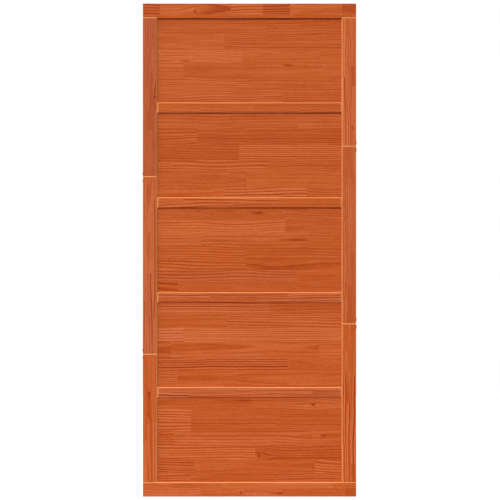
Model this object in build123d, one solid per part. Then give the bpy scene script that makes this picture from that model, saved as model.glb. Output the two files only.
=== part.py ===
"""Sliding barn door leaf in solid pine: rails and three-length stiles, grooved around flat glued panels.

Frame: +Z up, +X to the right seen from the front, the front face towards -Y.
The origin is the middle of the leaf's top edge, where the leaf hangs from its track.
"""

import os

from build123d import *

# Leaf, overall, in millimetres.
DOOR_WIDTH = 900.0
DOOR_HEIGHT = 2080.0
FRAME_THICKNESS = 35.0

# Visible widths of the frame members.
STILE_WIDTH = 61.0
END_RAIL_HEIGHT = 61.0
CROSS_RAIL_HEIGHT = 45.0
PANEL_COUNT = 5

# A stile is put together from three lengths, so that no piece is longer than the leaf is wide.
# The left stile has the long length on top, and the right stile is the same set turned end for end.
STILE_LONG_LENGTH = 670.0
STILE_MIDDLE_LENGTH = 750.0

# Tongue and groove: panels, rail ends and stile ends all share one groove.
PANEL_THICKNESS = 18.0
TONGUE_LENGTH = 10.0
TONGUE_END_GAP = 1.0
GROOVE_SIDE_PLAY = 0.2

# Bevels as wide as this run round the cross rails and down the inner edge of each stile, at 45 degrees.
# Across the upper end of each stile length and along the bottom rail they are as wide but flatter.
BEVEL = 4.0
FLAT_BEVEL_DEPTH = 1.5

# The bevelled upper end of each stile is let into the top rail by this much.
HOUSING_DEPTH = 4.0

# Sizes that follow from the ones above.
GROOVE_DEPTH = TONGUE_LENGTH + TONGUE_END_GAP
GROOVE_WIDTH = PANEL_THICKNESS + 2 * GROOVE_SIDE_PLAY
CLEAR_WIDTH = DOOR_WIDTH - 2 * STILE_WIDTH
CLEAR_HEIGHT = DOOR_HEIGHT - 2 * END_RAIL_HEIGHT
STILE_RUN = CLEAR_HEIGHT + HOUSING_DEPTH
STILE_SHORT_LENGTH = STILE_RUN - STILE_LONG_LENGTH - STILE_MIDDLE_LENGTH
CROSS_RAIL_COUNT = PANEL_COUNT - 1
PANEL_OPENING = (CLEAR_HEIGHT - CROSS_RAIL_COUNT * CROSS_RAIL_HEIGHT) / PANEL_COUNT
PANEL_PITCH = PANEL_OPENING + CROSS_RAIL_HEIGHT
STILE_MIDDLE_X = (DOOR_WIDTH - STILE_WIDTH) / 2

# Signs for the two edges of a member's section and the two sides of the leaf.
LOWER, UPPER = -1, 1
LEFT, RIGHT = -1, 1

# Boxes that stand on their place or hang from it.
STANDING = (Align.CENTER, Align.CENTER, Align.MIN)
HANGING = (Align.CENTER, Align.CENTER, Align.MAX)


def ploughed_section(width, *grooved_edges):
    """Section of a frame member, its thickness by its width, with a groove in each edge that is named."""
    section = Rectangle(FRAME_THICKNESS, width)
    for edge in grooved_edges:
        groove_middle = edge * (width - GROOVE_DEPTH) / 2
        section -= Pos(0, groove_middle) * Rectangle(GROOVE_WIDTH, GROOVE_DEPTH)
    return section


def level_bar(section, length, middle_z):
    """A section run level across the leaf, centred on it."""
    return Pos(0, 0, middle_z) * extrude(Plane.YZ * section, length / 2, both=True)


def face_edges(bar):
    """The edges round the front face and round the back face of a bar."""
    faces = bar.faces().sort_by(Axis.Y)
    return faces[0].edges() + faces[-1].edges()


def flat_bevelled(bar):
    """A bar with the flatter bevel along the upper edge of its front face and of its back face."""
    for end in (0, -1):
        face = bar.faces().sort_by(Axis.Y)[end]
        upper_edge = face.edges().sort_by(Axis.Z)[-1]
        bar = chamfer(upper_edge, BEVEL, FLAT_BEVEL_DEPTH, reference=face)
    return bar


def top_rail():
    """Full-width rail over the stiles, grooved below, with a notch at each end that houses a stile's end."""
    rail = level_bar(ploughed_section(END_RAIL_HEIGHT, LOWER), DOOR_WIDTH, -END_RAIL_HEIGHT / 2)
    notch = Box(STILE_WIDTH, FRAME_THICKNESS, HOUSING_DEPTH, align=STANDING)
    for side in (LEFT, RIGHT):
        rail -= Pos(side * STILE_MIDDLE_X, 0, -END_RAIL_HEIGHT) * notch
    return rail


def bottom_rail():
    """Full-width rail under the stile ends, grooved above, with its upper edges bevelled."""
    bar = level_bar(ploughed_section(END_RAIL_HEIGHT, UPPER), DOOR_WIDTH, END_RAIL_HEIGHT / 2 - DOOR_HEIGHT)
    return flat_bevelled(bar)


def cross_rail(index):
    """Rail between two panels, grooved above and below and bevelled round both faces.

    The web between its grooves runs on past the shoulders as a stub tongue at each end.
    """
    middle_z = CROSS_RAIL_HEIGHT / 2 - END_RAIL_HEIGHT - (index + 1) * PANEL_PITCH
    bar = level_bar(ploughed_section(CROSS_RAIL_HEIGHT, LOWER, UPPER), CLEAR_WIDTH, middle_z)
    bar = chamfer(face_edges(bar), BEVEL)
    web_height = CROSS_RAIL_HEIGHT - 2 * GROOVE_DEPTH
    return bar + Pos(0, 0, middle_z) * Box(CLEAR_WIDTH + 2 * TONGUE_LENGTH, PANEL_THICKNESS, web_height)


def stile_length(side, upper_z, length, upper_tongue, stands_on_rail):
    """One length of a stile, grooved and bevelled along its inner edge, with a bevelled upper end.

    A tongue stands on its upper end. Its lower end has a slot for the tongue below it, or a tongue of its own
    where it stands on the bottom rail.
    """
    lower_z = upper_z - length
    down_the_stile = Plane((side * STILE_MIDDLE_X, 0, upper_z), x_dir=(0, 1, 0), z_dir=(0, 0, -1))
    bar = extrude(down_the_stile * ploughed_section(STILE_WIDTH, -side), length)
    inner_edges = face_edges(bar).group_by(Axis.X)[-1 if side == LEFT else 0]
    bar = flat_bevelled(chamfer(inner_edges, BEVEL))

    tongue_width = STILE_WIDTH - GROOVE_DEPTH
    tongue_x = side * (DOOR_WIDTH - tongue_width) / 2
    top = Pos(tongue_x, 0, upper_z)
    foot = Pos(tongue_x, 0, lower_z)
    bar += top * Box(tongue_width, PANEL_THICKNESS, upper_tongue, align=STANDING)
    if stands_on_rail:
        return bar + foot * Box(tongue_width, PANEL_THICKNESS, TONGUE_LENGTH, align=HANGING)
    return bar - foot * Box(tongue_width, GROOVE_WIDTH, GROOVE_DEPTH, align=STANDING)


def stile(side, lengths):
    """The three lengths of one stile from the top down, by the name of their place."""
    pieces = {}
    upper_z = HOUSING_DEPTH - END_RAIL_HEIGHT
    upper_tongue = TONGUE_LENGTH - HOUSING_DEPTH
    for place, length in zip(("upper", "middle", "lower"), lengths):
        pieces[place] = stile_length(side, upper_z, length, upper_tongue, stands_on_rail=place == "lower")
        upper_z -= length
        upper_tongue = TONGUE_LENGTH
    return pieces


def panel(index):
    """Flat glued board that stands in the groove below it and has room to swell at its other edges."""
    foot_z = -END_RAIL_HEIGHT - index * PANEL_PITCH - PANEL_OPENING - GROOVE_DEPTH
    width = CLEAR_WIDTH + 2 * TONGUE_LENGTH
    height = PANEL_OPENING + GROOVE_DEPTH + TONGUE_LENGTH
    return Pos(0, 0, foot_z) * Box(width, PANEL_THICKNESS, height, align=STANDING)


def door_pieces():
    """Every piece of the leaf by its node name."""
    lengths = (STILE_LONG_LENGTH, STILE_MIDDLE_LENGTH, STILE_SHORT_LENGTH)
    pieces = {"top_rail": top_rail(), "bottom_rail": bottom_rail()}
    for index in range(CROSS_RAIL_COUNT):
        pieces[f"cross_rail_{index + 1}"] = cross_rail(index)
    for place, piece in stile(LEFT, lengths).items():
        pieces[f"left_stile_{place}"] = piece
    for place, piece in stile(RIGHT, lengths[::-1]).items():
        pieces[f"right_stile_{place}"] = piece
    for index in range(PANEL_COUNT):
        pieces[f"panel_{index + 1}"] = panel(index)
    return pieces


os.makedirs("parts", exist_ok=True)
for node, piece in door_pieces().items():
    export_step(piece, f"parts/{node}.step")
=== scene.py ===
import math
import random
from collections import namedtuple

import bmesh
import bpy
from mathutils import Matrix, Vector


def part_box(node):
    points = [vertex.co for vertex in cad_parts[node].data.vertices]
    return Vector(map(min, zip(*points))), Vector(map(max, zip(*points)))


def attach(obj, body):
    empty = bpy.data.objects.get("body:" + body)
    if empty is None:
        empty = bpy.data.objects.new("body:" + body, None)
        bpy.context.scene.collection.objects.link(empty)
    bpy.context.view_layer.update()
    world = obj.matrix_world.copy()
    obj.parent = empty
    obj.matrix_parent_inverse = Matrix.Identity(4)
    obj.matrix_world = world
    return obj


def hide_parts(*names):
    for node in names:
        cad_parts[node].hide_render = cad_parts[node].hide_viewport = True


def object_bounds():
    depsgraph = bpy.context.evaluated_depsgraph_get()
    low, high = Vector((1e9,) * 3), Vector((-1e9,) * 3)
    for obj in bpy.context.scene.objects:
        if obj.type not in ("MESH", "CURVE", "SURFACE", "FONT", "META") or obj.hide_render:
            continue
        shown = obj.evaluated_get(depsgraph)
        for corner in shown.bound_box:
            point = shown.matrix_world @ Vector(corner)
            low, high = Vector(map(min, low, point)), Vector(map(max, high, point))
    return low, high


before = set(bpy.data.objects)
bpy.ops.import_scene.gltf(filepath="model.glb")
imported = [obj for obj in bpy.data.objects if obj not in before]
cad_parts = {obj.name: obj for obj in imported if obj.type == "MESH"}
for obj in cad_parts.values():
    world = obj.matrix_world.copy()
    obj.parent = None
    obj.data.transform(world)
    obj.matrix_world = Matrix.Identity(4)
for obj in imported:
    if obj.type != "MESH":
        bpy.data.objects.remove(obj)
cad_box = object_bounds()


# Panels
# Flat boards of pine, glued edge to edge and end to end from staves about 60 mm wide, sanded flush and waxed
# in a reddish brown. The grain runs level, and every stave was sawn from another place in its log.
MM = 0.001


def linear_colour(code):
    """An sRGB hex colour as linear red, green, blue and alpha."""
    shares = [int(code[i:i + 2], 16) / 255 for i in (1, 3, 5)]
    return [s / 12.92 if s <= 0.04045 else ((s + 0.055) / 1.055) ** 2.4 for s in shares] + [1.0]


def add_node(tree, kind, inputs=None, **settings):
    """A shader node with its settings, and its inputs set to values or linked to other nodes' outputs."""
    node = tree.nodes.new("ShaderNode" + kind)
    for name, value in settings.items():
        setattr(node, name, value)
    for socket, value in (inputs or {}).items():
        if isinstance(value, bpy.types.NodeSocket):
            tree.links.new(value, node.inputs[socket])
        else:
            node.inputs[socket].default_value = value
    return node


# Waxed pine. Growth rings lie round each stave's own heart line, so a face shows stripes or arches, and an
# end shows arcs. Late wood takes the stain more deeply than early wood, and the wax gives a satin sheen.
# Rings, streaks and fibres are drawn coarser than in real pine, as coarse as they need to be to show.
RING_WIDTH = 9.5 * MM
WANDER_LENGTH = 320 * MM
WANDER_WIDTH = 120 * MM
WANDER = 11 * MM
STREAK_LENGTH = 130 * MM
STREAK_WIDTH = 2.8 * MM
FIBRE_LENGTH = 20 * MM
FIBRE_WIDTH = 2.4 * MM
CLOUD_LENGTH = 420 * MM
CLOUD_WIDTH = 30 * MM
USUAL_STAIN = ("#df7b4c", "#be5521", "#982d02")
ROSE_STAIN = ("#d07a5c", "#b05533", "#8b2f12")
# The pale wood colour painted on the bevels as a painted highlight.
PAINTED_HIGHLIGHT_WOOD = "#f6b06a"
KNOT_WOOD = "#962a00"

# Each corner of a wood face carries its place in the log, its stave's tone as stain depth, share of rose and
# strength of rings, its place from the stave's knot with the knot's radius, and its share of painted
# highlight.
pine = bpy.data.materials.new("waxed_pine")
pine.use_nodes = True
tree = pine.node_tree
tree.nodes.clear()
grain = add_node(tree, "Attribute", attribute_name="grain").outputs["Vector"]
tone_vector = add_node(tree, "Attribute", attribute_name="tone").outputs["Vector"]
tone = add_node(tree, "SeparateXYZ", {0: tone_vector})
knot_vector = add_node(tree, "Attribute", attribute_name="knot").outputs["Vector"]
knot = add_node(tree, "SeparateXYZ", {0: knot_vector})
highlight_mask = add_node(tree, "Attribute", attribute_name="highlight_mask").outputs["Fac"]

# The heart line wanders along the log, as far to one side as to the other.
wander_scale = (1 / WANDER_LENGTH, 1 / WANDER_WIDTH, 1 / WANDER_WIDTH)
wander_place = add_node(tree, "VectorMath", {0: grain, 1: wander_scale}, operation="MULTIPLY").outputs[0]
wander = add_node(tree, "TexNoise", {"Vector": wander_place, "Scale": 1.0, "Detail": 1.0}).outputs["Color"]
wander_shift = add_node(tree, "VectorMath", {0: wander, 1: (0.5, 0.5, 0.5)}, operation="SUBTRACT").outputs[0]
bent = add_node(tree, "VectorMath", {0: wander_shift, 1: (0.0, 2 * WANDER, 2 * WANDER), 2: grain},
                operation="MULTIPLY_ADD").outputs[0]

# Round a knot the fibres part and close again.
KNOT_REACH = 3.2
KNOT_STRETCH = 3.0
KNOT_PUSH = 0.9
reach = add_node(tree, "Math", {0: knot.outputs["Z"], 1: KNOT_REACH}, operation="MULTIPLY").outputs[0]
long_reach = add_node(tree, "Math", {0: reach, 1: KNOT_STRETCH}, operation="MULTIPLY").outputs[0]
far_along = add_node(tree, "Math", {0: knot.outputs["X"], 1: long_reach}, operation="DIVIDE").outputs[0]
far_across = add_node(tree, "Math", {0: knot.outputs["Y"], 1: reach}, operation="DIVIDE").outputs[0]
along_square = add_node(tree, "Math", {0: far_along, 1: far_along}, operation="MULTIPLY").outputs[0]
far_square = add_node(tree, "Math", {0: far_across, 1: far_across, 2: along_square},
                      operation="MULTIPLY_ADD").outputs[0]
far_negative = add_node(tree, "Math", {0: far_square, 1: -1.0}, operation="MULTIPLY").outputs[0]
near_knot = add_node(tree, "Math", {0: far_negative}, operation="EXPONENT").outputs[0]
push = add_node(tree, "Math", {0: knot.outputs["Y"], 1: near_knot}, operation="MULTIPLY").outputs[0]
push_back = add_node(tree, "Math", {0: push, 1: -KNOT_PUSH}, operation="MULTIPLY").outputs[0]
push_vector = add_node(tree, "CombineXYZ", {"Y": push_back}).outputs[0]
parted = add_node(tree, "VectorMath", {0: bent, 1: push_vector}, operation="ADD").outputs[0]

# Growth rings: distance from the heart line, in uneven years that end in a dark line of late wood.
CHANGES_PER_YEAR = 0.45
UNEVEN_YEARS = 1.1
LATE_WOOD = ((0.45, 0.12), (0.74, 0.85), (0.86, 1.0))
WEAKEST_YEAR = 0.6
BLACK = linear_colour("#000000")
from_heart = add_node(tree, "VectorMath", {0: parted, 1: (0.0, 1.0, 1.0)}, operation="MULTIPLY").outputs[0]
radius = add_node(tree, "VectorMath", {0: from_heart}, operation="LENGTH").outputs["Value"]
years = add_node(tree, "Math", {0: radius, 1: RING_WIDTH}, operation="DIVIDE").outputs[0]
uneven = add_node(tree, "TexNoise", {"W": years, "Scale": CHANGES_PER_YEAR, "Detail": 1.0},
                  noise_dimensions="1D").outputs[0]
uneven_years = add_node(tree, "Math", {0: uneven, 1: UNEVEN_YEARS, 2: years},
                        operation="MULTIPLY_ADD").outputs[0]
season = add_node(tree, "Math", {0: uneven_years}, operation="FRACT").outputs[0]
year = add_node(tree, "Math", {0: uneven_years}, operation="FLOOR").outputs[0]
late_ramp = add_node(tree, "ValToRGB", {0: season})
for place, level in LATE_WOOD:
    late_ramp.color_ramp.elements.new(place).color = (level, level, level, 1.0)
late_ramp.color_ramp.elements[0].color = BLACK
late_ramp.color_ramp.elements[-1].color = BLACK
year_chance = add_node(tree, "TexWhiteNoise", {"W": year}, noise_dimensions="1D").outputs["Value"]
year_share = add_node(tree, "MapRange", {0: year_chance, 3: WEAKEST_YEAR, 4: 1.0}).outputs[0]
late = add_node(tree, "Math", {0: late_ramp.outputs["Color"], 1: year_share},
                operation="MULTIPLY").outputs[0]

# Streaks, fibres and clouds of stain, all drawn out along the grain.
streak_scale = (1 / STREAK_LENGTH, 1 / STREAK_WIDTH, 1 / STREAK_WIDTH)
streak_place = add_node(tree, "VectorMath", {0: parted, 1: streak_scale}, operation="MULTIPLY").outputs[0]
streak = add_node(tree, "TexNoise", {"Vector": streak_place, "Scale": 1.0, "Detail": 2.0}).outputs[0]
fibre_scale = (1 / FIBRE_LENGTH, 1 / FIBRE_WIDTH, 1 / FIBRE_WIDTH)
fibre_place = add_node(tree, "VectorMath", {0: parted, 1: fibre_scale}, operation="MULTIPLY").outputs[0]
fibre = add_node(tree, "TexNoise", {"Vector": fibre_place, "Scale": 1.0, "Detail": 4.0}).outputs[0]
cloud_scale = (1 / CLOUD_LENGTH, 1 / CLOUD_WIDTH, 1 / CLOUD_WIDTH)
cloud_place = add_node(tree, "VectorMath", {0: grain, 1: cloud_scale}, operation="MULTIPLY").outputs[0]
cloud = add_node(tree, "TexNoise", {"Vector": cloud_place, "Scale": 1.0, "Detail": 2.0}).outputs[0]

# How deep the stain went decides the colour, from thin to deep.
EVEN_DEPTH = 0.49
STREAK_DEPTH = 0.46
FIBRE_DEPTH = 0.45
CLOUD_DEPTH = 0.24
even_depth = EVEN_DEPTH - (STREAK_DEPTH + FIBRE_DEPTH + CLOUD_DEPTH) / 2
depth = add_node(tree, "Math", {0: late, 1: tone.outputs["Z"], 2: tone.outputs["X"]},
                 operation="MULTIPLY_ADD").outputs[0]
depth = add_node(tree, "Math", {0: streak, 1: STREAK_DEPTH, 2: depth}, operation="MULTIPLY_ADD").outputs[0]
depth = add_node(tree, "Math", {0: fibre, 1: FIBRE_DEPTH, 2: depth}, operation="MULTIPLY_ADD").outputs[0]
depth = add_node(tree, "Math", {0: cloud, 1: CLOUD_DEPTH, 2: depth}, operation="MULTIPLY_ADD").outputs[0]
depth = add_node(tree, "Math", {0: depth, 1: even_depth}, operation="ADD").outputs[0]
stains = []
for thin, even, deep in (USUAL_STAIN, ROSE_STAIN):
    ramp = add_node(tree, "ValToRGB", {0: depth})
    ramp.color_ramp.elements.new(0.5).color = linear_colour(even)
    ramp.color_ramp.elements[0].color = linear_colour(thin)
    ramp.color_ramp.elements[-1].color = linear_colour(deep)
    stains.append(ramp.outputs["Color"])
wood = add_node(tree, "MixRGB", {0: tone.outputs["Y"], 1: stains[0], 2: stains[1]}).outputs[0]

# The knot itself is a small round of hard red-brown wood that fades into the grain, from inside its radius
# to outside it.
KNOT_CORE = 0.2
KNOT_RIM = 1.6
KNOT_STRENGTH = 0.85
knot_flat = add_node(tree, "CombineXYZ", {"X": knot.outputs["X"], "Y": knot.outputs["Y"]}).outputs[0]
knot_far = add_node(tree, "VectorMath", {0: knot_flat}, operation="LENGTH").outputs["Value"]
knot_share = add_node(tree, "Math", {0: knot_far, 1: knot.outputs["Z"]}, operation="DIVIDE").outputs[0]
knot_fade = add_node(tree, "MapRange", {0: knot_share, 1: KNOT_CORE, 2: KNOT_RIM, 3: KNOT_STRENGTH, 4: 0.0},
                     interpolation_type="SMOOTHSTEP").outputs[0]
wood = add_node(tree, "MixRGB", {0: knot_fade, 1: wood, 2: linear_colour(KNOT_WOOD)}).outputs[0]

# On the bevels a pale wood colour is mixed in, streaked along the grain: a painted highlight.
STREAK_LOW = 0.2
STREAK_HIGH = 0.8
HIGHLIGHT_LEAST = 0.7
HIGHLIGHT_MOST = 1.3
highlight_range = {0: streak, 1: STREAK_LOW, 2: STREAK_HIGH, 3: HIGHLIGHT_LEAST, 4: HIGHLIGHT_MOST}
highlight_share = add_node(tree, "MapRange", highlight_range).outputs[0]
highlight_share = add_node(tree, "Math", {0: highlight_share, 1: highlight_mask}, operation="MULTIPLY").outputs[0]
wood = add_node(tree, "MixRGB", {0: highlight_share, 1: wood, 2: linear_colour(PAINTED_HIGHLIGHT_WOOD)}).outputs[0]

# The wax fills the grain, so its relief is low and its gloss is weak and warm.
WAX_SMOOTHEST = 0.5
WAX_ROUGHEST = 0.64
WAX_IOR = 1.5
WAX_GLOSS = 0.18
WAX_TINT = "#ffe3a8"
FIBRE_RELIEF = 0.5
RELIEF = 0.15 * MM
RELIEF_STRENGTH = 0.25
sheen = add_node(tree, "MapRange", {0: streak, 3: WAX_SMOOTHEST, 4: WAX_ROUGHEST}).outputs[0]
relief = add_node(tree, "Math", {0: fibre, 1: FIBRE_RELIEF, 2: late}, operation="MULTIPLY_ADD").outputs[0]
bump = add_node(tree, "Bump", {"Strength": RELIEF_STRENGTH, "Distance": RELIEF, "Height": relief}).outputs[0]
pine_shader = add_node(tree, "BsdfPrincipled", {
    "Base Color": wood,
    "Roughness": sheen,
    "Normal": bump,
    "IOR": WAX_IOR,
    "Specular IOR Level": WAX_GLOSS,
    "Specular Tint": linear_colour(WAX_TINT),
})
add_node(tree, "OutputMaterial", {"Surface": pine_shader.outputs[0]})

# The two ways that grain lies on the leaf, as axes.
LEVEL, UPRIGHT = 0, 2

# A ruler runs along an axis from the left or the top of a piece, and its length is in mm.
Ruler = namedtuple("Ruler", "axis start sign length")

# A stave is one length of a strip, with its number there as count. Its long edges are near and far across
# the grain, and its ends first and last along it, in mm on the two rulers.
Stave = namedtuple("Stave", "strip count near far first last")


def rulers(node, grain_axis):
    """The rulers along the grain and across it on a node's box."""
    low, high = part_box(node)
    level = Ruler(LEVEL, low.x, 1, (high.x - low.x) / MM)
    upright = Ruler(UPRIGHT, high.z, -1, (high.z - low.z) / MM)
    return (level, upright) if grain_axis == LEVEL else (upright, level)


def reading(ruler, point):
    """Where a point lies on a ruler, in mm."""
    return (point[ruler.axis] - ruler.start) * ruler.sign / MM


def list_staves(strips, along, across):
    """The staves of a piece, strip by strip. The last strip takes what is left of the width."""
    staves = []
    near = 0.0
    for strip, (width, joints) in enumerate(strips):
        far = across.length if strip == len(strips) - 1 else near + width
        ends = [0.0, *joints, along.length]
        for count, (first, last) in enumerate(zip(ends, ends[1:])):
            staves.append(Stave(strip, count, near, far, first, last))
        near = far
    return staves


def cut_square(ruler, distance):
    """Part the selected faces in edit mode square to a ruler, at a distance in mm."""
    place = Vector((0.0, 0.0, 0.0))
    place[ruler.axis] = ruler.start + ruler.sign * distance * MM
    normal = Vector((0.0, 0.0, 0.0))
    normal[ruler.axis] = 1.0
    bpy.ops.mesh.bisect(plane_co=place, plane_no=normal)


def select_strip(piece, stave, across):
    """Select the faces of the piece in edit mode that lie in a stave's strip, and nothing else."""
    bpy.ops.mesh.select_all(action="DESELECT")
    edit_mesh = bmesh.from_edit_mesh(piece.data)
    for face in edit_mesh.faces:
        if stave.near < reading(across, face.calc_center_median()) < stave.far:
            face.select_set(True)
    edit_mesh.select_flush_mode()
    bmesh.update_edit_mesh(piece.data)


MERGE_WITHIN = 0.001 * MM
FLAT_WITHIN = math.radians(0.5)


def part_faces(node, staves, along, across):
    """A copy of a CAD node with its flat faces made whole again and then parted along the staves' edges."""
    bpy.ops.object.select_all(action="DESELECT")
    piece = bpy.data.objects.new(node + "_staves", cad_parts[node].data.copy())
    bpy.context.scene.collection.objects.link(piece)
    piece.select_set(True)
    bpy.context.view_layer.objects.active = piece
    bpy.ops.object.mode_set(mode="EDIT")
    bpy.ops.mesh.select_all(action="SELECT")
    bpy.ops.mesh.remove_doubles(threshold=MERGE_WITHIN)
    bpy.ops.mesh.customdata_custom_splitnormals_clear()
    bpy.ops.mesh.faces_shade_flat()
    bpy.ops.mesh.dissolve_limited(angle_limit=FLAT_WITHIN)
    for stave in staves:
        if stave.strip > 0 and stave.count == 0:
            bpy.ops.mesh.select_all(action="SELECT")
            cut_square(across, stave.near)
    for stave in staves:
        if stave.count > 0:
            select_strip(piece, stave, across)
            cut_square(along, stave.first)
    bpy.ops.object.mode_set(mode="OBJECT")
    return piece


# How staves are sawn: distances from the heart line in mm, and in metres the run of log that they are
# spread along. The seed is fixed, so every run saws alike.
chance = random.Random(11)
FLAT_SAWN_SHARE = 0.2
FLAT_SAWN_HEART = (0, 14)
RIFT_SAWN_HEART = (45, 150)
HEART_DEPTH = (18, 60)
RING_SIZES = (0.75, 1.3)
STEEPEST_SLOPE = 0.012
LOG_RUN = 400
DEPTH_SPREAD = 0.04
ROSE_SPREAD = 0.06
FLAT_SAWN_LINES = (0.15, 0.3)
RIFT_SAWN_LINES = (0.3, 0.8)
ARCH_HEART_DEPTH = 31
ARCH_LINES = 0.55


def sawn_look(stave, knots, deep, arches, shade, rose, figure):
    """The figure and stain of one stave, drawn by chance round what is given for its piece."""
    middle = (stave.near + stave.far) / 2
    flat_sawn = chance.random() < FLAT_SAWN_SHARE
    heart_sign = chance.choice((-1, 1))
    heart_side = heart_sign * chance.uniform(*(FLAT_SAWN_HEART if flat_sawn else RIFT_SAWN_HEART))
    heart_depth = chance.choice((-1, 1)) * chance.uniform(*HEART_DEPTH)
    look = {
        "ring": chance.uniform(*RING_SIZES),
        "heart": (middle + heart_side, heart_depth),
        "slope": chance.uniform(-STEEPEST_SLOPE, STEEPEST_SLOPE),
        "sinking": 0.0,
        "log": chance.uniform(0, LOG_RUN),
        "depth": chance.gauss(shade, DEPTH_SPREAD) + deep.get(stave[:2], 0.0),
        "rose": min(max(chance.gauss(rose, ROSE_SPREAD), 0.0), 1.0),
        "lines": figure * chance.uniform(*(FLAT_SAWN_LINES if flat_sawn else RIFT_SAWN_LINES)),
        "knot": None,
    }
    for spot in knots:
        if stave.first <= spot[0] < stave.last and stave.near <= spot[1] < stave.far:
            look["knot"] = spot
            break
    if stave[:2] in arches:
        look["heart"] = (middle, ARCH_HEART_DEPTH)
        look["slope"] = 0.0
        look["lines"] = ARCH_LINES
        look["sinking"] = arches[stave[:2]]
    return look


# Shares of painted highlight on the bevels, by the way they face. The flatter ones go by their piece's
# grain.
UPPER_BEVEL_HIGHLIGHT = 0.46
SIDE_BEVEL_HIGHLIGHT = 0.41
END_BEVEL_HIGHLIGHT = 0.75
FLAT_BEVEL_HIGHLIGHT = {LEVEL: 0.64, UPRIGHT: 0.84}

# A face points a way by so much of its normal, from none to one.
PARTLY = 0.5
MOSTLY = 0.9
WHOLLY = 0.99


def highlight_by_facing(normal, grain_axis):
    """The share of painted highlight on a face. Bevels that face down and faces that are no bevel have none.
    """
    frontal = abs(normal.y)
    if MOSTLY < frontal < WHOLLY:
        return FLAT_BEVEL_HIGHLIGHT[grain_axis]
    if not PARTLY < frontal < MOSTLY:
        return 0.0
    if abs(normal[grain_axis]) > PARTLY:
        return END_BEVEL_HIGHLIGHT
    if normal.z > PARTLY:
        return UPPER_BEVEL_HIGHLIGHT
    return SIDE_BEVEL_HIGHLIGHT if normal.z > -PARTLY else 0.0


# End grain drinks more stain. Rings deepen the stain on the whole by this share, which is taken off again.
END_GRAIN_DEPTH = 0.4
LATE_SHARE = 0.3

# A stave with no knot has a speck of one, far off the leaf.
NO_KNOT = [10.0, 10.0, MM]


def write_grain(mesh, grain_axis, looks, along, across):
    """Write each face corner's place in the log, tone, place from the knot and share of painted highlight.
    """
    grain_values = []
    tone_values = []
    knot_values = []
    highlight_values = []

    def outside(stave, face_along, face_across):
        """How far a face's middle lies outside a stave, in mm."""
        return max(stave.near - face_across, face_across - stave.far,
                   stave.first - face_along, face_along - stave.last)

    for face in mesh.polygons:
        face_place = reading(along, face.center), reading(across, face.center)
        stave = min(looks, key=lambda candidate: outside(candidate, *face_place))
        look = looks[stave]
        # The bevels' share of pale colour is a painted highlight, by the way the face points.
        highlight_share = highlight_by_facing(face.normal, grain_axis)
        end_grain = abs(face.normal[grain_axis]) > MOSTLY
        depth = look["depth"] - LATE_SHARE * look["lines"] + END_GRAIN_DEPTH * end_grain
        for loop in face.loop_indices:
            point = mesh.vertices[mesh.loops[loop].vertex_index].co
            point_along = reading(along, point)
            point_across = reading(across, point)
            from_end = point_along - stave.first
            heart_depth = look["heart"][1] + look["sinking"] * from_end
            from_heart = point_across - look["heart"][0] + look["slope"] * from_end
            grain_values += [point_along * MM + look["log"], from_heart * MM / look["ring"],
                             (point.y - heart_depth * MM) / look["ring"]]
            tone_values += [depth, look["rose"], look["lines"]]
            highlight_values.append(highlight_share)
            if look["knot"]:
                knot_along, knot_across, knot_radius, knot_length = look["knot"]
                knot_values += [(point_along - knot_along) * MM / knot_length,
                                (point_across - knot_across) * MM, knot_radius * MM]
            else:
                knot_values += NO_KNOT
    for name, values in (("grain", grain_values), ("tone", tone_values), ("knot", knot_values)):
        mesh.attributes.new(name, "FLOAT_VECTOR", "CORNER").data.foreach_set("vector", values)
    mesh.attributes.new("highlight_mask", "FLOAT", "CORNER").data.foreach_set("value", highlight_values)


def glue_up(node, grain_axis, strips, slot, knots=(), deep=None, arches=None, shade=0.0, rose=0.05,
            figure=1.0):
    """A wood piece in a CAD node's place, its faces parted into staves that each get a grain of their own.

    strips lists (width, end joints) in mm, from the top down on level grain and from the left on upright
    grain. knots lists (along, across, radius, length over width), the first three in mm. shade deepens the
    stain of the whole piece, and deep that of some (strip, stave) pairs. arches says how steeply the heart
    line sinks under some such pairs. rose is the usual share of pinkish wood, and figure the strength of the
    growth rings.
    """
    along, across = rulers(node, grain_axis)
    staves = list_staves(strips, along, across)
    piece = part_faces(node, staves, along, across)
    looks = {}
    for stave in staves:
        looks[stave] = sawn_look(stave, knots, deep or {}, arches or {}, shade, rose, figure)
    write_grain(piece.data, grain_axis, looks, along, across)
    piece.data.materials.clear()
    piece.data.materials.append(pine)
    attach(piece, "root")
    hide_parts(node)


PANEL_STAVES = {
    "panel_1": [(75, [470]), (65, [292]), (58, [368, 700]), (69, [120]), (63, [342]), (0, [540])],
    "panel_2": [(76, [602]), (63, [177]), (69, [354]), (47, [68, 480]), (72, [386]), (0, [290, 640])],
    "panel_3": [(61, [640]), (53, [550]), (55, [198, 646]), (103, [386]), (51, [596]), (0, [95, 655])],
    "panel_4": [(55, [483]), (61, [301]), (61, [120]), (66, [66, 692]), (55, [560]), (57, [95]), (0, [410])],
    "panel_5": [(60, [412]), (93, [152]), (63, [80]), (57, [424]), (59, [164, 676]), (0, [150, 520])],
}
PANEL_LOOKS = {
    "panel_1": {"knots": [(562, 207, 5, 5), (127, 189, 3, 7)], "shade": 0.02, "figure": 0.9},
    "panel_2": {"deep": {(1, 1): 0.12}},
    "panel_3": {
        "knots": [(436, 31, 6, 4), (600, 145, 3, 16)],
        "deep": {(3, 1): 0.1, (5, 0): 0.12},
        "figure": 0.75,
    },
    "panel_4": {"shade": -0.02, "figure": 1.2},
    "panel_5": {
        "knots": [(380, 24, 3, 14), (668, 41, 6, 1.6), (713, 172, 5, 2.5), (440, 256, 9, 0.7)],
        "deep": {(1, 1): 0.1, (3, 1): 0.05},
        "figure": 0.9,
    },
}
for node, strips in PANEL_STAVES.items():
    glue_up(node, LEVEL, strips, "panel_wood", **PANEL_LOOKS[node])


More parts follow.
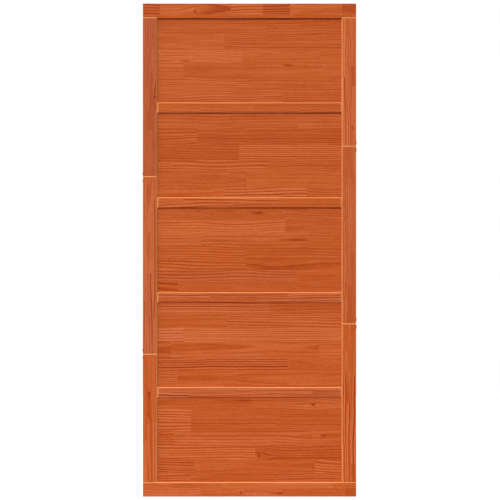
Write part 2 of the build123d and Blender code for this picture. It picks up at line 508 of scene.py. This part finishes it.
# Rails
# The two end rails and the four cross rails, glued up end to end from blocks of pine and grooved for the
# panels. All but the top rail are bevelled along the edges next to the panels.
RAIL_STAVES = {
    "top_rail": [(45, [72, 228, 372, 507, 620, 841]), (0, [330, 640])],
    "cross_rail_1": [(22, [420]), (0, [190, 610])],
    "cross_rail_2": [(22, [120, 520]), (0, [330])],
    "cross_rail_3": [(22, [230, 560]), (0, [430])],
    "cross_rail_4": [(22, [350]), (0, [140, 660])],
    "bottom_rail": [(25, [120, 330, 560, 800]), (0, [245, 430, 590, 855])],
}
RAIL_LOOKS = {
    "top_rail": {
        "knots": [(221, 34, 10, 0.5)],
        "arches": {(0, 2): 0.04},
        "deep": {(0, 0): 0.1, (0, 1): -0.05, (0, 3): -0.05, (0, 4): 0.2, (0, 5): -0.06, (0, 6): 0.12},
        "shade": 0.05,
    },
    "cross_rail_1": {"shade": 0.05, "figure": 0.6},
    "cross_rail_2": {"shade": 0.02},
    "cross_rail_3": {"rose": 0.3, "figure": 1.3},
    "cross_rail_4": {"shade": -0.05, "rose": 0.4, "figure": 1.6},
    "bottom_rail": {
        "knots": [(414, 45, 6, 0.7), (582, 47, 4, 6)],
        "deep": {(1, 0): -0.06, (1, 1): 0.1, (1, 3): 0.04, (1, 4): 0.16},
        "shade": -0.08,
        "rose": 0.0,
        "figure": 0.5,
    },
}
for node, strips in RAIL_STAVES.items():
    glue_up(node, LEVEL, strips, "rail_wood", **RAIL_LOOKS[node])


# Stiles
# Each stile is three lengths with a tongue and slot between them, glued up from strips about 20 mm wide,
# with the grain upright. Their inner edges and upper ends are bevelled.
STILE_STAVES = {
    "left_stile_upper": [(20, [310]), (21, [150, 480]), (0, [395])],
    "left_stile_middle": [(20, [200, 540]), (21, [420]), (0, [110, 610])],
    "left_stile_lower": [(20, [380]), (21, [170]), (0, [300])],
    "right_stile_upper": [(20, [260]), (21, [90, 410]), (0, [213, 298])],
    "right_stile_middle": [(20, [330]), (21, [150, 600]), (0, [460])],
    "right_stile_lower": [(20, [120, 520]), (21, [350]), (0, [230, 600])],
}
STILE_LOOKS = {
    "left_stile_upper": {"knots": [(344, 53, 6, 1.2)], "shade": 0.04, "rose": 0.7},
    "left_stile_middle": {"shade": -0.05, "rose": 0.5, "figure": 1.3},
    "left_stile_lower": {"knots": [(175, 26, 3, 8)], "shade": -0.06, "figure": 0.6},
    "right_stile_upper": {"knots": [(474, 44, 5, 1.2)], "deep": {(2, 1): 0.25}, "shade": -0.09, "rose": 0.2},
    "right_stile_middle": {"shade": -0.02, "rose": 0.4},
    "right_stile_lower": {"shade": 0.04, "figure": 1.3},
}
for node, strips in STILE_STAVES.items():
    glue_up(node, UPRIGHT, strips, "stile_wood", **STILE_LOOKS[node])


# Connector bolts
# Blackened steel bolts with a hexagon socket, one above and one below each stile joint, driven level into
# the outer edges. Only the heads show: wide and flat on the right stile, small and rounded on the left.

# Blackened steel. The oxide skin on the turned heads is dark and half dull, and where it is worn thin it is
# browner, paler and smoother.
BLACKENED = "#2c231e"
WORN = "#4a3c32"
WEAR_SIZE = 1.5 * MM
WEAR_STARTS = 0.45
WEAR_FULL = 0.9
BLACKENED_ROUGHNESS = 0.6
WORN_ROUGHNESS = 0.4
steel = bpy.data.materials.new("blackened_steel")
steel.use_nodes = True
tree = steel.node_tree
tree.nodes.clear()
steel_place = add_node(tree, "TexCoord").outputs["Object"]
wear = add_node(tree, "TexNoise", {"Vector": steel_place, "Scale": 1 / WEAR_SIZE, "Detail": 3.0}).outputs[0]
worn = add_node(tree, "MapRange", {0: wear, 1: WEAR_STARTS, 2: WEAR_FULL}).outputs[0]
steel_colours = {0: worn, 1: linear_colour(BLACKENED), 2: linear_colour(WORN)}
steel_colour = add_node(tree, "MixRGB", steel_colours).outputs[0]
steel_sheen = add_node(tree, "MapRange", {0: wear, 3: BLACKENED_ROUGHNESS, 4: WORN_ROUGHNESS}).outputs[0]
steel_shader = add_node(tree, "BsdfPrincipled", {
    "Base Color": steel_colour,
    "Metallic": 1.0,
    "Roughness": steel_sheen,
})
add_node(tree, "OutputMaterial", {"Surface": steel_shader.outputs[0]})

TURNING_STEPS = 48
ROUNDED_UP_TO = math.radians(30)


def turned_head(profile):
    """A fastener's head, turned on the Z axis from a profile of (radius, height) points in mm."""
    bpy.ops.object.select_all(action="DESELECT")
    bpy.ops.mesh.primitive_plane_add(size=MM)
    head = bpy.context.object
    bpy.ops.object.mode_set(mode="EDIT")
    bpy.ops.mesh.merge(type="CENTER")
    for (radius, height), (next_radius, next_height) in zip(profile, profile[1:]):
        step = ((next_radius - radius) * MM, 0.0, (next_height - height) * MM)
        bpy.ops.mesh.extrude_vertices_move(TRANSFORM_OT_translate={"value": step})
    bpy.ops.mesh.select_all(action="SELECT")
    bpy.ops.mesh.spin(steps=TURNING_STEPS, angle=math.tau, center=(0, 0, 0), axis=(0, 0, 1))
    bpy.ops.mesh.select_all(action="SELECT")
    bpy.ops.mesh.remove_doubles(threshold=MERGE_WITHIN)
    bpy.ops.mesh.normals_make_consistent(inside=False)
    bpy.ops.object.mode_set(mode="OBJECT")
    return head


def cut_out(piece, cutter):
    """Cut one object out of another and take the cutter away."""
    bpy.ops.object.select_all(action="DESELECT")
    piece.select_set(True)
    bpy.context.view_layer.objects.active = piece
    cut = piece.modifiers.new("cut", "BOOLEAN")
    cut.operation = "DIFFERENCE"
    cut.object = cutter
    bpy.ops.object.modifier_apply(modifier=cut.name)
    bpy.data.objects.remove(cutter)
    bpy.ops.object.shade_smooth_by_angle(angle=ROUNDED_UP_TO)


def socket_head(profile, socket, depth):
    """A turned head with a hexagon socket, measured across its flats, sunk from the top."""
    head = turned_head(profile)
    top = profile[-1][1] * MM
    bpy.ops.object.select_all(action="DESELECT")
    bpy.ops.mesh.primitive_cylinder_add(vertices=6, radius=socket * MM / math.sqrt(3), depth=2 * depth * MM,
                                        location=(0, 0, top))
    cut_out(head, bpy.context.object)
    return head


def set_in(head, name, place, outward):
    """A copy of a fastener's head on the leaf, its axis turned outward."""
    bpy.ops.object.select_all(action="DESELECT")
    copy = head.copy()
    copy.data = head.data.copy()
    copy.name = name
    bpy.context.scene.collection.objects.link(copy)
    copy.location = place
    copy.rotation_euler = Vector(outward).to_track_quat("Z", "Y").to_euler()
    copy.select_set(True)
    bpy.context.view_layer.objects.active = copy
    bpy.ops.object.transform_apply(location=True, rotation=True, scale=True)
    copy.data.materials.append(steel)
    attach(copy, "root")


FLAT_HEAD = [(0, 0), (8.5, 0), (8.5, 2.4), (8.3, 2.9), (7.6, 3.2), (0, 3.2)]
BUTTON_HEAD = [(0, 0), (6, 0), (6, 1.3), (5.5, 2.6), (4.5, 3.6), (3.3, 4.0), (0, 4.0)]
BOLT_SOCKET = 4
BOLT_SOCKET_DEPTH = 2.2
BOLT_FROM_MIDDLE = 16 * MM
PAIR_BELOW_JOINT = {"left": 4.5 * MM, "right": 1.0 * MM}
OUTWARD = {"left": Vector((-1.0, 0.0, 0.0)), "right": Vector((1.0, 0.0, 0.0))}
edge_x = {"left": cad_box[0][0], "right": cad_box[1][0]}
for side, profile in (("left", BUTTON_HEAD), ("right", FLAT_HEAD)):
    head = socket_head(profile, BOLT_SOCKET, BOLT_SOCKET_DEPTH)
    for joint, length in enumerate(("upper", "middle"), start=1):
        middle_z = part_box(f"{side}_stile_{length}")[0].z - PAIR_BELOW_JOINT[side]
        for where, offset in (("above", BOLT_FROM_MIDDLE), ("below", -BOLT_FROM_MIDDLE)):
            place = (edge_x[side], 0.0, middle_z + offset)
            set_in(head, f"{side}_bolt_{joint}_{where}", place, OUTWARD[side])
    bpy.data.objects.remove(head)


# Screws
# Cross-head screws of the same steel that hold the frame: through the outer edges into the ends of the cross
# rails, with round heads on the right and sunk ones on the left, and sunk ones up through the bottom rail.
ROUND_HEAD = [(0, 0), (4, 0), (4, 1.4), (3.6, 2.3), (2.6, 2.8), (0, 3.0)]
SUNK_HEAD = [(0, 0), (4, 0), (4, 0.15), (2.6, 0.4), (0, 0.5)]
CROSS_LENGTH = 4.4 * MM
CROSS_WIDTH = 0.9 * MM
CROSS_DEPTH = 1.2 * MM
CROSS_TURNS = (45, 135)


def cross_head(profile):
    """A turned head with a cross recess for the driver, at most half as deep as the head is high."""
    head = turned_head(profile)
    top = profile[-1][1] * MM
    recess = min(CROSS_DEPTH, top / 2)
    for turn in CROSS_TURNS:
        bpy.ops.object.select_all(action="DESELECT")
        bpy.ops.mesh.primitive_cube_add(size=1, location=(0, 0, top), rotation=(0, 0, math.radians(turn)),
                                        scale=(CROSS_LENGTH, CROSS_WIDTH, 2 * recess))
        cut_out(head, bpy.context.object)
    return head


CROSS_RAIL_COUNT = 4
CORNER_INSET = 20 * MM
round_head = cross_head(ROUND_HEAD)
sunk_head = cross_head(SUNK_HEAD)
for side, head in (("left", sunk_head), ("right", round_head)):
    for number in range(1, CROSS_RAIL_COUNT + 1):
        low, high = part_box(f"cross_rail_{number}")
        set_in(head, f"{side}_screw_{number}", (edge_x[side], 0.0, (low.z + high.z) / 2), OUTWARD[side])
    corner_x = edge_x[side] - OUTWARD[side].x * CORNER_INSET
    set_in(sunk_head, f"{side}_bottom_screw", (corner_x, 0.0, cad_box[0][2]), (0.0, 0.0, -1.0))
bpy.data.objects.remove(round_head)
bpy.data.objects.remove(sunk_head)


# Cap screws
# A socket-head screw of the same steel near each top corner, its washer and head turned as one. It is driven
# down through the top rail and draws the rail onto the stile's end.
CAP_HEAD = [(0, 0), (6.2, 0), (6.2, 1.0), (6.0, 1.2), (5, 1.2), (5, 4.9), (4.7, 5.2), (0, 5.2)]
CAP_SOCKET = 5
CAP_SOCKET_DEPTH = 2.5
cap = socket_head(CAP_HEAD, CAP_SOCKET, CAP_SOCKET_DEPTH)
for side in ("left", "right"):
    corner_x = edge_x[side] - OUTWARD[side].x * CORNER_INSET
    set_in(cap, f"{side}_cap_screw", (corner_x, 0.0, cad_box[1][2]), (0.0, 0.0, 1.0))
bpy.data.objects.remove(cap)


# Floor, light and camera
# A plain pale floor under the leaf in a white room, seen straight on. The main light is wide and soft, high
# in front on the left. Weaker ones from overhead and the left add to the light lines along the bevels, which
# are also painted on as a painted highlight of pale wood, and one from behind shows the back.

# Matt floor paint. It is pale and dull and takes a soft shadow, and its glow, which only the eye and mirrors
# see, blends it into the white of the room.
FLOOR_COLOUR = "#bab9b7"
FLOOR_ROUGHNESS = 0.9
FLOOR_SIZE = 4.0
FLOOR_GAP = 2 * MM
FLOOR_GLOW = 0.65
WHITE = linear_colour("#ffffff")
bpy.ops.object.select_all(action="DESELECT")
bpy.ops.mesh.primitive_plane_add(size=FLOOR_SIZE, location=(0.0, 0.0, cad_box[0][2] - FLOOR_GAP))
floor = bpy.context.object
floor.name = "floor"
bpy.ops.object.transform_apply(location=True, rotation=True, scale=True)
paint = bpy.data.materials.new("matt_floor_paint")
paint.use_nodes = True
tree = paint.node_tree
tree.nodes.clear()


def seen_directly(tree):
    """One for rays from the camera or by reflection or glass, and nothing for rays that carry light."""
    path = add_node(tree, "LightPath").outputs
    mirrored = add_node(tree, "Math", {0: path["Is Glossy Ray"], 1: path["Is Transmission Ray"]},
                        operation="MAXIMUM").outputs[0]
    return add_node(tree, "Math", {0: path["Is Camera Ray"], 1: mirrored}, operation="MAXIMUM").outputs[0]


glow = add_node(tree, "Math", {0: seen_directly(tree), 1: FLOOR_GLOW}, operation="MULTIPLY").outputs[0]
paint_shader = add_node(tree, "BsdfPrincipled", {
    "Base Color": linear_colour(FLOOR_COLOUR),
    "Roughness": FLOOR_ROUGHNESS,
    "Emission Color": WHITE,
    "Emission Strength": glow,
})
add_node(tree, "OutputMaterial", {"Surface": paint_shader.outputs[0]})
floor.data.materials.append(paint)

ROOM_GLOW = 0.2
world = bpy.data.worlds.new("white_room")
bpy.context.scene.world = world
world.use_nodes = True
tree = world.node_tree
tree.nodes.clear()
room_glow = add_node(tree, "MapRange", {0: seen_directly(tree), 3: ROOM_GLOW, 4: 1.0}).outputs[0]
background = add_node(tree, "Background", {"Color": WHITE, "Strength": room_glow})
add_node(tree, "OutputWorld", {"Surface": background.outputs[0]})

middle = (Vector(cad_box[0]) + Vector(cad_box[1])) / 2


def add_lamp(kind, name, from_middle, energy, **sizes):
    """A studio lamp at a place measured from the middle of the leaf, which it faces."""
    lamp = bpy.data.lights.new(name, kind)
    lamp.energy = energy
    for size, value in sizes.items():
        setattr(lamp, size, value)
    stand = bpy.data.objects.new(name, lamp)
    place = middle + Vector(from_middle)
    stand.location = place
    stand.rotation_euler = (middle - place).to_track_quat("-Z", "Y").to_euler()
    bpy.context.scene.collection.objects.link(stand)


add_lamp("AREA", "key_light", (-2.5, -10.0, 6.2), energy=950, shape="DISK", size=5.2)
add_lamp("SUN", "overhead_light", (0.0, -1.3, 4.8), energy=1.2, angle=math.radians(30))
add_lamp("SUN", "left_light", (-4.7, -1.3, 0.8), energy=0.88, angle=math.radians(25))
add_lamp("SUN", "back_light", (2.0, 4.5, 2.2), energy=1.6, angle=math.radians(30))

# The camera's sensor and lens are in mm, and the stretch that it sees at the leaf's front face in metres.
SENSOR = 36.0
LENS = 50.0
VIEW_HEIGHT = 2.1098
VIEW_CENTRE = (0.0020, -1.0398)
distance = VIEW_HEIGHT * LENS / SENSOR
camera_data = bpy.data.cameras.new("camera")
camera_data.sensor_width = SENSOR
camera_data.lens = LENS
camera = bpy.data.objects.new("camera", camera_data)
camera.location = (VIEW_CENTRE[0], cad_box[0][1] - distance, VIEW_CENTRE[1])
camera.rotation_euler = (math.radians(90), 0.0, 0.0)
bpy.context.scene.collection.objects.link(camera)
bpy.context.scene.camera = camera
bpy.context.scene.view_settings.view_transform = "Standard"
